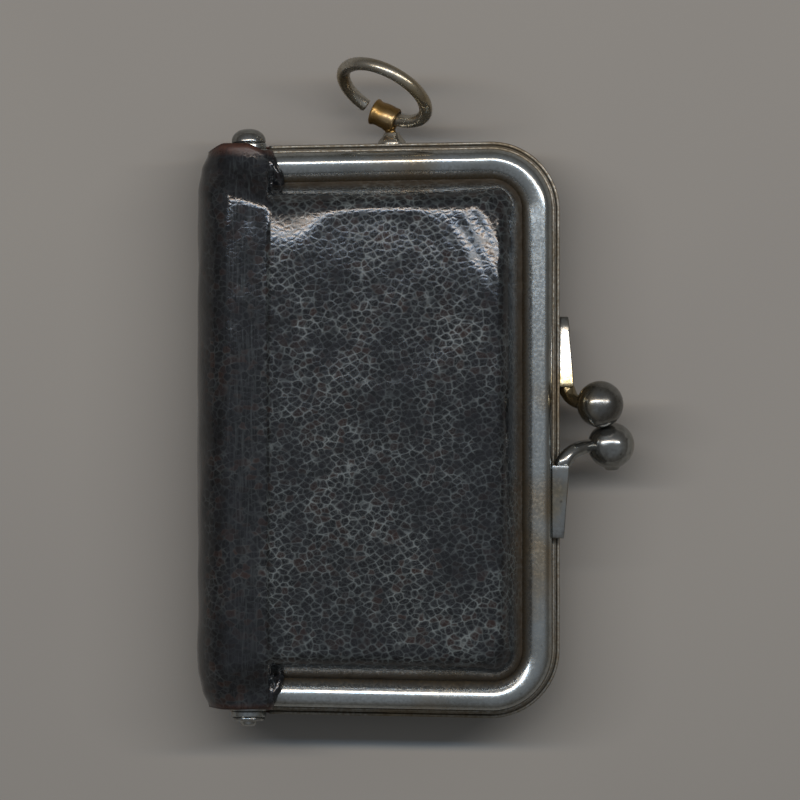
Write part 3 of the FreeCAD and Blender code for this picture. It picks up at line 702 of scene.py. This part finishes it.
def spine_point(place, y, skin):
    """Point of the section at y. place runs from -LAP_END at the back pad to LAP_END at the front pad."""
    away = abs(y)
    tip = spine_tip(y)
    round_x = -18.4
    front = place > 0
    if abs(place) <= 1:
        turn = math.radians(90 * place)
        power = 2 / 2.3
        x = round_x - (round_x - tip - skin) * abs(math.cos(turn)) ** power
        half = spine_half(y, x) - skin
        height = half * abs(math.sin(turn)) ** power
    else:
        # The leather runs on to the pad and thins out over its edge.
        share = (abs(place) - 1) / (LAP_END - 1)
        x = lerp(round_x, FLAP_X, share)
        half = spine_half(y, x) - skin
        pad_height = front_pad_height if front else back_pad_height
        level = pad_height(x, y, max(step_at(x, y, front), 0.0))
        inset = FRONT_INSET if front else 0.0
        lap = tab_height(rim_y(x, inset) - away, x) + 0.03
        ground = max(lap, lerp(max(level, half - 0.05), level, smooth_step(0.72, 0.85, share)))
        ground += 0.03 - 0.07 * smooth_step(0.72, 1.0, share)
        follow = smooth_step(0.0, 0.65, share)
        height = lerp(half, ground - skin * (1 - share) * 0.8 - (0.06 if skin else 0), follow)
        if skin == 0:
            height -= 0.05 * math.exp(-((x + 16.9) / 0.4) ** 2)
    z = half_z(height, front)
    if skin == 0:
        fade = 1 - smooth_step(1.0, LAP_END, abs(place))
        bulge = 0.14 * fade * noise.noise(Vector((x * 0.35, y * 0.16, z * 0.3)))
        x -= bulge
        z += math.copysign(bulge * 0.8, place)
        # The leather's ends stand up in a low peak over the rivets, hardly at the flat rivet.
        peak = smooth_step(-24.6, -21.6, x) * smooth_step(-15.6, -19.0, x)
        rise = 1.25 if y > 0 else 0.3
        y += math.copysign(rise * peak * smooth_step(34.0, SPINE_END_Y, away), y)
    return (x, y, z)


def make_spine():
    """Leather 1 mm thick: at each station along y come the outer skin's points, then the inner one's."""
    stations = 145
    outer_count = 93
    inner_count = 47
    points = []
    for i in range(stations):
        y = lerp(-SPINE_END_Y, SPINE_END_Y, i / (stations - 1))
        for k in range(outer_count):
            points.append(spine_point(lerp(-LAP_END, LAP_END, k / (outer_count - 1)), y, 0))
        for k in range(inner_count):
            points.append(spine_point(lerp(LAP_END, -LAP_END, k / (inner_count - 1)), y, 1.0))
    count = outer_count + inner_count
    faces = wall_faces(stations, count)
    for start in (0, (stations - 1) * count):
        for k in range(inner_count - 1):
            outer = start + 2 * k
            inner = start + count - 1 - k
            faces.append((outer, outer + 1, outer + 2, inner - 1, inner))
    return face_out(make_mesh("spine_leather_cover", points, faces, spine_hide))


spine = make_spine()
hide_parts("spine_leather")
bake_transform(spine)


def make_tab(name, upper, front):
    """Leather tab that laps the end of a frame, with a raw worn edge."""
    side = 1 if upper else -1
    inset = FRONT_INSET if front else 0
    loops = []
    count = 26
    for i in range(22):
        share = i / 21
        top_side = []
        low_side = []
        for k in range(count):
            across = lerp(0.35, 5.2, k / (count - 1))
            reach = -15.7 + 0.42 * across + 0.12 * math.sin(across * 2.4) + 0.15 * noise.noise(
                Vector((across * 1.3, side * 3.0, 7.0 if front else 2.0)))
            x = lerp(-19.6, reach, share)
            y = rim_y(x, inset + across) + (0.35 - 0.25 * across / 4)
            top = tab_height(across, x) + 0.05 * noise.noise(Vector((x * 0.6, y * 0.6, 4.0)))
            thin = 0.65 * (1 - smooth_step(0.0, 0.1, 1 - share))
            top_side.append((x, side * y, half_z(top - thin, front)))
            low_side.append((x, side * (y - 0.05), half_z(top - 0.9, front)))
        loops.append(top_side + list(reversed(low_side)))
    piece = mesh_from_loops(name, loops, tab_hide)
    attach(face_out(piece), "front_half" if front else "back_half")


make_tab("front_tab_upper", True, True)
make_tab("front_tab_lower", False, True)
make_tab("back_tab_upper", True, False)
make_tab("back_tab_lower", False, False)


# Frames


def arc(centre, radius, start_deg, end_deg, count):
    """Points on an arc as (across, height), without its first one."""
    points = []
    for i in range(1, count + 1):
        points.append(on_circle(centre, radius, math.radians(lerp(start_deg, end_deg, i / count))))
    return points


def frame_profile(inset):
    """Closed section of a frame's sheet as (across, height): wall, crown, dipping face, rolled edge."""
    crown = (1.9, 2.75)
    crown_radius = crown[0] - WALL_IN
    face = (1.9, 1.2)
    face_radius = 3.0
    dip = math.degrees(math.acos((4.25 - face[0]) / face_radius))
    points = [(WALL_IN, 0.45), (WALL_IN, 1.2), (WALL_IN, 2.0), (WALL_IN, 2.75)]
    points += arc(crown, crown_radius, 180, 90, 12)
    points += arc(face, face_radius, 90, dip, 10)
    points += [(4.27, 3.0), (4.18, 2.84), (4.0, 2.8)]
    points += arc(face, face_radius - SHEET, dip + 6, 90, 5)
    points += arc(crown, crown_radius - SHEET, 90, 180, 5)
    points += [(WALL_IN + SHEET, 1.6), (WALL_IN + SHEET, 0.05), (WALL_IN, 0.05)]
    return [(inset + across, height) for across, height in points]


def lip_profile(inset):
    """Rounded lip at the parting line."""
    points = [
        (0.5, 0.05), (0.08, 0.05), (0.02, 0.1), (0.0, 0.18), (0.0, 0.3), (0.03, 0.39), (0.1, 0.44),
        (0.5, 0.46),
    ]
    return [(inset + across, height) for across, height in points]


def sweep(name, profile, end_x, front, material, uneven=0.02):
    """Section carried round the case's rim line, a little unevenly."""
    loops = []
    for x, y, inward in rim_stations(end_x):
        sway = uneven * noise.noise(Vector((x, y, 40.0 if front else 10.0)) * 0.22)
        loop = []
        # The channel's ends are pressed down where the leather laps them.
        pressed = 0.55 * smooth_step(-13.9, -15.7, x)
        for across, height in profile:
            a = across + sway
            level = height + sway * 0.8 - pressed * smooth_step(1.5, 3.0, height)
            loop.append((x + inward[0] * a, y + inward[1] * a, half_z(level, front)))
        loops.append(loop)
    return mesh_from_loops(name, loops, material)


def turned(name, profile, origin, axis, material, wobble=0.0):
    """Surface of revolution: profile of (along, radius) about an axis through origin."""
    axis = Vector(axis).normalized()
    side = axis.orthogonal().normalized()
    other = axis.cross(side)
    loops = []
    for along, radius in profile:
        spot = Vector(origin) + axis * along
        loop = []
        for a, b in circle(64):
            way = side * a + other * b
            out = radius * (1 + wobble * noise.noise(way * 1.6 + Vector((along, 2.0, 5.0))))
            loop.append(tuple(spot + way * max(out, 0.004)))
        loops.append(loop)
    return face_out(mesh_from_loops(name, loops, material))


def join(first, *others):
    """One mesh of several, in the first one's object."""
    bpy.ops.object.select_all(action="DESELECT")
    for piece in (first, *others):
        piece.select_set(True)
    bpy.context.view_layer.objects.active = first
    bpy.ops.object.join()
    return first


def shade_and_grime_layer(piece, profile, inset, amount_of):
    """Keeps how much painted shade and grime each point of a swept section gets, from its place across and
    its height.
    """
    layer = piece.data.attributes.new("shade_and_grime", "FLOAT", "POINT")
    count = len(profile)
    for index in range(len(piece.data.vertices)):
        across, height = profile[index % count]
        layer.data[index].value = amount_of(across - inset, height)


def channel_shade_and_grime(across, height):
    # Brown towards the inner edge: painted reflection of the leather, and dirt.
    inner = smooth_step(3.0, 4.1, across)
    # Darker low on the outer wall, by the parting line: painted shade.
    wall = 0.85 * smooth_step(3.3, 1.6, height) * smooth_step(1.3, 0.5, across)
    # Darker on the wall's inner side under the crown: painted shade.
    under = 0.8 if 0.9 < across < 1.5 and height < 3.0 else 0.0
    return max(inner, wall, under)


def lip_painted_shade(*_):
    """The whole lip gets the same amount: painted shade."""
    return 0.85


def make_ear(name, side, inset, front):
    """Round ear on the hinge's axis and the web that joins it to the channel."""
    outer = rim_y(CHANNEL_END_X, inset + WALL_IN)
    inner = outer - SHEET
    disc = [
        (inner, 0.8), (inner, 2.4), (inner + 0.06, 2.48),
        (outer - 0.06, 2.48), (outer, 2.4), (outer, 0.8),
    ]
    ear = turned(name + "_ear", disc, HINGE_SPOT, (0, side, 0), nickel)
    low, high = sorted([half_z(0.3, front), half_z(2.75, front)])
    corners = []
    for x in (HINGE_X + 0.9, CHANNEL_END_X + 0.3):
        for y in (inner * side, outer * side):
            for z in (low, high):
                corners.append((x, y, z))
    sides = [(0, 1, 3, 2), (4, 6, 7, 5), (0, 4, 5, 1), (2, 3, 7, 6), (0, 2, 6, 4), (1, 5, 7, 3)]
    web = face_out(make_mesh(name + "_web", corners, sides, nickel, smooth=False))
    return [ear, web]


def make_frame(name, node_name, body, front):
    """One half's frame: channel, lip and two ears."""
    inset = FRONT_INSET if front else 0.0
    section = frame_profile(inset)
    channel = face_out(sweep(name, section, CHANNEL_END_X, front, nickel))
    shade_and_grime_layer(channel, section, inset, channel_shade_and_grime)
    lip_section = lip_profile(inset)
    lip = face_out(sweep(name + "_lip", lip_section, LIP_END_X, front, nickel, uneven=0.03))
    shade_and_grime_layer(lip, lip_section, inset, lip_painted_shade)
    ears = make_ear(name, 1, inset, front) + make_ear(name, -1, inset, front)
    piece = join(channel, lip, *ears)
    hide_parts(node_name)
    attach(piece, body)


make_frame("front_rim_frame", "front_frame", "front_half", True)
make_frame("back_rim_frame", "back_frame", "back_half", False)


# Hinge rivets and washers


def dome_profile():
    """Rivet's stem and domed head as (along, radius)."""
    base = 37.66
    head_radius = 2.24
    points = [(36.3, 0.74), (37.5, 0.74), (37.5, 2.1), (37.56, 2.2), (base, head_radius)]
    for i in range(1, 15):
        angle = math.radians(90 * i / 14)
        points.append((base + 1.68 * math.sin(angle), head_radius * math.cos(angle) ** 0.85))
    return points


dome = turned("hinge_dome_upper", dome_profile(), HINGE_SPOT, (0, 1, 0), clasp_nickel, wobble=0.02)
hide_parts("hinge_rivet_top")
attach(dome, "back_half")
flat_head = turned(
    "hinge_head_lower",
    [(35.2, 0.74), (37.5, 0.74), (37.5, 2.0), (37.56, 2.12), (37.72, 2.15), (37.9, 2.1), (38.0, 1.9),
     (38.02, 1.15), (38.12, 1.08), (38.4, 1.02), (38.6, 0.85), (38.7, 0.5), (38.71, 0.0)],
    HINGE_SPOT, (0, -1, 0), clasp_nickel, wobble=0.05,
)
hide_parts("hinge_rivet_bottom")
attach(flat_head, "back_half")
washer_rims = []
for side in (1, -1):
    washer_rims.append(turned(
        "hinge_washer_pair",
        [(36.69, 0.82), (36.69, 2.22), (36.75, 2.29), (36.9, 2.3), (37.3, 2.3), (37.43, 2.27),
         (37.49, 2.18), (37.49, 0.82)],
        HINGE_SPOT, (0, side, 0), nickel,
    ))
washers = join(*washer_rims)
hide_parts("hinge_washers")
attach(washers, "back_half")


# Clasp


def tube(name, path, sizes, material, flat=1.0):
    """Round or flattened tube through points, with a radius at each."""
    loops = []
    side = None
    for i, spot in enumerate(path):
        ahead = path[min(i + 1, len(path) - 1)] - path[max(i - 1, 0)]
        ahead.normalize()
        if side is None:
            side = Vector((0, 0, 1)).cross(ahead)
            if side.length < 0.1:
                side = Vector((1, 0, 0)).cross(ahead)
        side = (side - ahead * side.dot(ahead)).normalized()
        other = ahead.cross(side)
        loop = []
        for a, b in circle(28):
            loop.append(tuple(spot + side * a * sizes[i] + other * b * sizes[i] * flat))
        loops.append(loop)
    return face_out(mesh_from_loops(name, loops, material))


def curve_through(points, count):
    """Smooth path through points, by Catmull-Rom."""
    knots = [Vector(p) for p in points]
    knots = [knots[0] * 2 - knots[1]] + knots + [knots[-1] * 2 - knots[-2]]
    path = []
    spans = len(knots) - 3
    for i in range(count + 1):
        t = i / count * spans
        span = min(int(t), spans - 1)
        u = t - span
        a, b, c, d = knots[span:span + 4]
        curve = (2 * b) + (c - a) * u + (2 * a - 5 * b + 4 * c - d) * u * u
        path.append(0.5 * (curve + (3 * b - a - 3 * c + d) * u ** 3))
    return path


def make_ball(name, centre, radius, material, squash=1.0, nub=None):
    """Nearly round ball, slightly out of true, with an optional worn nub."""
    loops = []
    for i in range(1, 40):
        tilt = math.pi * i / 40
        loop = []
        for a, b in circle(64):
            way = Vector((math.sin(tilt) * a, math.sin(tilt) * b, math.cos(tilt)))
            out = radius * (1 + 0.006 * noise.noise(way * 2.2 + Vector(centre)))
            if nub:
                near = way.dot(Vector(nub).normalized())
                out += 0.28 * smooth_step(0.93, 0.975, near)
            spot = Vector(centre) + way * out
            loop.append((centre[0] + way.x * out * squash, spot.y, spot.z))
        loops.append(loop)
    return face_out(mesh_from_loops(name, loops, material))


def make_plate(name, node_name, root_y, tail_y, slope, body):
    """Tapered clasp plate soldered to the frame's wall, with bevelled edges."""
    low_corner, high_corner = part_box(node_name)
    x0 = low_corner[0] / MM
    x1 = high_corner[0] / MM
    z0 = low_corner[2] / MM
    z1 = high_corner[2] / MM
    points = []
    count = 14
    for i in range(count):
        share = i / (count - 1)
        y = lerp(root_y, tail_y, share)
        depth = (x1 - x0) * lerp(1.0, 0.76, smooth_step(0.0, 1.0, share))
        end_round = 0.35 * smooth_step(0.86, 1.0, share) ** 2
        top = z1 - end_round - slope * abs(y - root_y)
        low = z0 + end_round
        out = x0 + depth - 0.12 * smooth_step(0.85, 1.0, share)
        mid = (top + low) / 2
        section = [(x0, low), (out - 0.12, low), (out, mid), (out - 0.05, top), (out - 0.5, top), (x0, top)]
        points += [(x, y, z) for x, z in section]
    faces = wall_faces(count, 6)
    faces.append(tuple(range(6)))
    faces.append(tuple(range((count - 1) * 6, count * 6)))
    piece = face_out(make_mesh(name, points, faces, clasp_nickel))
    add_bevel(piece, 0.16)
    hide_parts(node_name)
    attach(piece, body)


make_plate("clasp_plate_upper", "back_clasp_plate", 5.58, 14.82, 0.135, "back_half")
make_plate("clasp_plate_lower", "front_clasp_plate", -4.57, -14.16, 0.02, "front_half")

UPPER_BALL = (27.3, 3.35, 10.65)
LOWER_BALL = (28.78, -2.02, 7.75)


def make_arm(name, node_name, knots, sizes, body):
    """Bent arm through knots, with sizes as (share of its length, radius)."""
    path = curve_through(knots, 30)
    spread = [read_profile(sizes, i / 30) for i in range(31)]
    piece = tube(name, path, spread, clasp_nickel, flat=0.95)
    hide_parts(node_name)
    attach(piece, body)


make_arm(
    "clasp_arm_upper", "back_clasp_arm",
    [(22.85, 5.75, 7.35), (23.2, 4.9, 7.5), (23.7, 4.1, 8.1), (24.6, 3.6, 9.0), (25.6, 3.4, 9.8),
     (26.6, 3.35, 10.35)],
    [(0.0, 1.0), (0.15, 1.08), (0.4, 0.92), (0.75, 0.88), (1.0, 0.95)], "back_half",
)
make_arm(
    "clasp_arm_lower", "front_clasp_arm",
    [(22.2, -4.9, 10.9), (22.7, -3.9, 10.9), (23.5, -3.0, 10.6), (24.8, -2.35, 9.7), (26.2, -2.1, 8.7),
     (27.9, -2.05, 8.0)],
    [(0.0, 1.0), (0.15, 1.1), (0.4, 0.95), (0.75, 0.9), (1.0, 1.0)], "front_half",
)
upper_ball = make_ball("clasp_ball_upper", UPPER_BALL, 3.05, clasp_nickel)
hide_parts("back_clasp_ball")
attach(upper_ball, "back_half")
lower_ball = make_ball(
    "clasp_ball_lower", LOWER_BALL, 3.03, clasp_nickel, squash=1.01, nub=(0.05, -1.0, -0.1),
)
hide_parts("front_clasp_ball")
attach(lower_ball, "front_half")


# Swivel, eye and ring


SWIVEL_X = 0.12
SWIVEL_Z = 6.9
collar = turned(
    "swivel_bell_collar",
    [(36.2, 0.58), (36.2, 1.3), (37.0, 1.4), (37.1, 1.78), (37.3, 1.85), (37.6, 1.84), (37.85, 1.72),
     (38.1, 1.48), (38.3, 1.3), (38.5, 1.17), (38.7, 1.08), (38.85, 1.05), (38.93, 0.98),
     (38.95, 0.85), (38.95, 0.58)],
    (SWIVEL_X, 0, SWIVEL_Z), (0, 1, 0), ring_nickel, wobble=0.03,
)
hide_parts("swivel_collar")
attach(collar, "back_half")

EYE_SPOT = Vector((-0.8, 41.1, 6.9))
EYE_WAY = Vector((0.90035, -0.376733, 0.21781)).normalized()


def make_eye():
    """Barrel that the ring passes through, on the bent neck of the stem that turns in the collar."""
    half = 1.7
    barrel = turned(
        "swivel_eye_barrel",
        [(-half, 1.26), (-half, 1.55), (-half + 0.08, 1.72), (-half + 0.3, 1.78), (-half + 0.55, 1.66),
         (-0.8, 1.6), (-0.3, 1.66), (0.3, 1.68), (0.9, 1.62), (1.3, 1.58), (half - 0.25, 1.6),
         (half - 0.06, 1.52), (half, 1.42), (half, 1.26), (0.9, 1.22), (-0.9, 1.22)],
        EYE_SPOT, EYE_WAY, brass, wobble=0.02,
    )
    bends = [(SWIVEL_X, 36.1), (SWIVEL_X, 37.5), (SWIVEL_X, 38.9), (0.0, 39.3), (-0.35, 39.9)]
    neck_path = curve_through([(x, y, SWIVEL_Z) for x, y in bends], 24)
    sizes = [(0.0, 0.5), (0.62, 0.5), (0.72, 0.85), (0.85, 0.8), (1.0, 1.0)]
    thick = [read_profile(sizes, i / 24) for i in range(25)]
    neck = tube("eye_neck", neck_path, thick, brass)
    return join(barrel, neck)


eye = make_eye()
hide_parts("swivel_eye")
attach(eye, "swivel")

RING_CENTRE = Vector((-0.8459, 43.9904, 12.0891))
RING_LEAN = Vector((0.875, -0.483, 0.0)).normalized()
RING_RISE = Vector((0.21, 0.381, 0.9)).normalized()


def make_ring():
    """Round wire bent into a ring that leaves a gap of 12 degrees."""
    start = -91.5
    turn = 348
    count = 220
    ring_radius = 5.94
    wire_radius = 0.87
    normal = RING_LEAN.cross(RING_RISE)
    loops = []
    for i in range(count + 1):
        angle = math.radians(lerp(start, start + turn, i / count))
        way = RING_LEAN * math.cos(angle) + RING_RISE * math.sin(angle)
        centre = RING_CENTRE + way * (ring_radius + 0.04 * math.sin(angle * 2 + 0.7))
        size = wire_radius * (1 + 0.015 * noise.noise(Vector((angle * 2, 0.0, 3.0))))
        if i in (0, count):
            size *= 0.93
        loop = []
        for a, b in circle(32):
            loop.append(tuple(centre + (way * a + normal * b) * size))
        loops.append(loop)
    return face_out(mesh_from_loops("suspension_ring_wire", loops, ring_nickel))


ring = make_ring()
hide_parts("ring")
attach(ring, "suspension_ring")


# Lining of the back half


def make_lining_tray():
    """Lined compartment: flange at the parting line, soft-cornered wall and a slightly cushioned floor."""
    floor_z = 2.98
    levels = [
        (1.15, -15.85, 8.35), (1.15, -15.85, 8.85), (4.5, -13.9, 8.85), (4.85, -13.6, 8.8),
        (5.05, -13.4, 8.6), (5.15, -13.3, 8.0), (5.3, -13.25, 6.5), (5.85, -13.2, 5.0),
        (6.35, -13.1, 3.9), (6.75, -12.9, 3.3), (7.2, -12.4, 3.02), (7.8, -11.8, 2.92),
        (8.6, -11.0, 2.95),
    ]
    value = 9.5
    while value < 21.0:
        levels.append((value, value - 19.6, floor_z))
        value += 1.5
    loops = []
    for inset, hinge, z in levels:
        if (SIDE_X - inset - hinge) / 2 < 0.8:
            break
        loop = outline(inset, hinge, 2.0, z)
        soft = smooth_step(4.2, 9.0, inset)
        loops.append([(x, y, z + 0.05 * soft * noise.noise(Vector((x, y, 2.0)) * 0.4)) for x, y, _ in loop])
    count = len(loops[0])
    points = [p for loop in loops for p in loop]
    faces = wall_faces(len(loops), count)
    # The innermost loop is closed round a point in its middle.
    inner = (len(loops) - 1) * count
    middle_x = sum(point[0] for point in loops[-1]) / count
    points.append((middle_x, 0.0, floor_z))
    for k in range(count):
        faces.append((inner + k, inner + (k + 1) % count, len(points) - 1))
    return make_mesh("back_lining_tray", points, faces, lining)


lining_tray = make_lining_tray()
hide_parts("back_lining")
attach(lining_tray, "back_half")


# Carried-over nodes and their materials


def dress(node_name, material):
    """Gives a node that is carried over from the CAD its material."""
    data = nodes[node_name].data
    data.materials.clear()
    data.materials.append(material)


for name in (
    "coin_tray", "sovereign_rim", "half_sovereign_rim", "sovereign_platform", "half_sovereign_platform",
    "tray_rivets", "sovereign_cup", "half_sovereign_cup",
):
    dress(name, gilt)
# Each spring gets the spring steel and a mesh of its own.
for name, place, slide in (
    ("sovereign_spring", SOVEREIGN_SPOT, "sovereign_platform_slide"),
    ("half_sovereign_spring", HALF_SPOT, "half_sovereign_platform_slide"),
):
    dress(name, spring_steel)
    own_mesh(nodes[name])
for name in ("back_strip", "front_strip", "back_board", "front_packing"):
    dress(name, card)
dress("swivel_washer", brass)


# Floor, light and camera


FLOOR_CORNERS = [(-900, -900, -0.02), (900, -900, -0.02), (900, 900, -0.02), (-900, 900, -0.02)]
floor = make_mesh(
    "plain_floor", FLOOR_CORNERS, [(0, 1, 2, 3)], floor_material("floor_paper"), smooth=False,
)

LAMP_X = 0.002
LAMP_HEIGHT = 0.3
LAMP_LENGTH = 0.6


def strip_lamp(name, offset_y, width, colour, power):
    """Long narrow lamp across the case, above it and a little towards its ring end."""
    data = bpy.data.lights.new(name, "AREA")
    data.shape = "RECTANGLE"
    data.size = LAMP_LENGTH
    data.size_y = width * MM
    data.color = colour
    data.energy = power
    lamp = bpy.data.objects.new(name, data)
    bpy.context.scene.collection.objects.link(lamp)
    lamp.location = (LAMP_X, offset_y * MM, LAMP_HEIGHT)
    aim = Vector((LAMP_X, 0.0, 0.01)) - lamp.location
    lamp.rotation_euler = aim.to_track_quat("-Z", "Y").to_euler()


strip_lamp("strip_warm", 99.0, 9.0, (1.0, 0.72, 0.5), 0.36)
strip_lamp("strip_white", 88.0, 10.0, (1.0, 0.98, 0.94), 0.5)
strip_lamp("strip_cool", 76.0, 11.0, (0.42, 0.66, 1.0), 0.3)

world = bpy.data.worlds.new("studio_air")
bpy.context.scene.world = world
world.use_nodes = True
sky = world.node_tree
sky_way = node(sky, "ShaderNodeTexCoord").outputs["Generated"]
sky_up = node(sky, "ShaderNodeSeparateXYZ", {0: sky_way}).outputs[2]
sky_tone = ramp(sky, sky_up, [
    (0.0, (0.11, 0.1, 0.09)), (0.35, (0.15, 0.145, 0.14)), (0.75, (0.22, 0.23, 0.25)),
    (1.0, (0.27, 0.29, 0.32)),
])
backdrop = sky.nodes["Background"]
sky.links.new(sky_tone, backdrop.inputs["Color"])
backdrop.inputs["Strength"].default_value = 1.0

# The camera looks straight down and sees a width of 0.1044 m, 0.011 m above the floor.
LENS = 400
SENSOR = 36
camera_data = bpy.data.cameras.new("camera")
camera_data.lens = LENS
camera_data.sensor_width = SENSOR
camera = bpy.data.objects.new("camera", camera_data)
bpy.context.scene.collection.objects.link(camera)
camera.location = (0.00117, 0.0039, 0.011 + 0.1044 * LENS / SENSOR)
camera_data.clip_end = 10
bpy.context.scene.camera = camera
bpy.context.scene.view_settings.view_transform = "Standard"
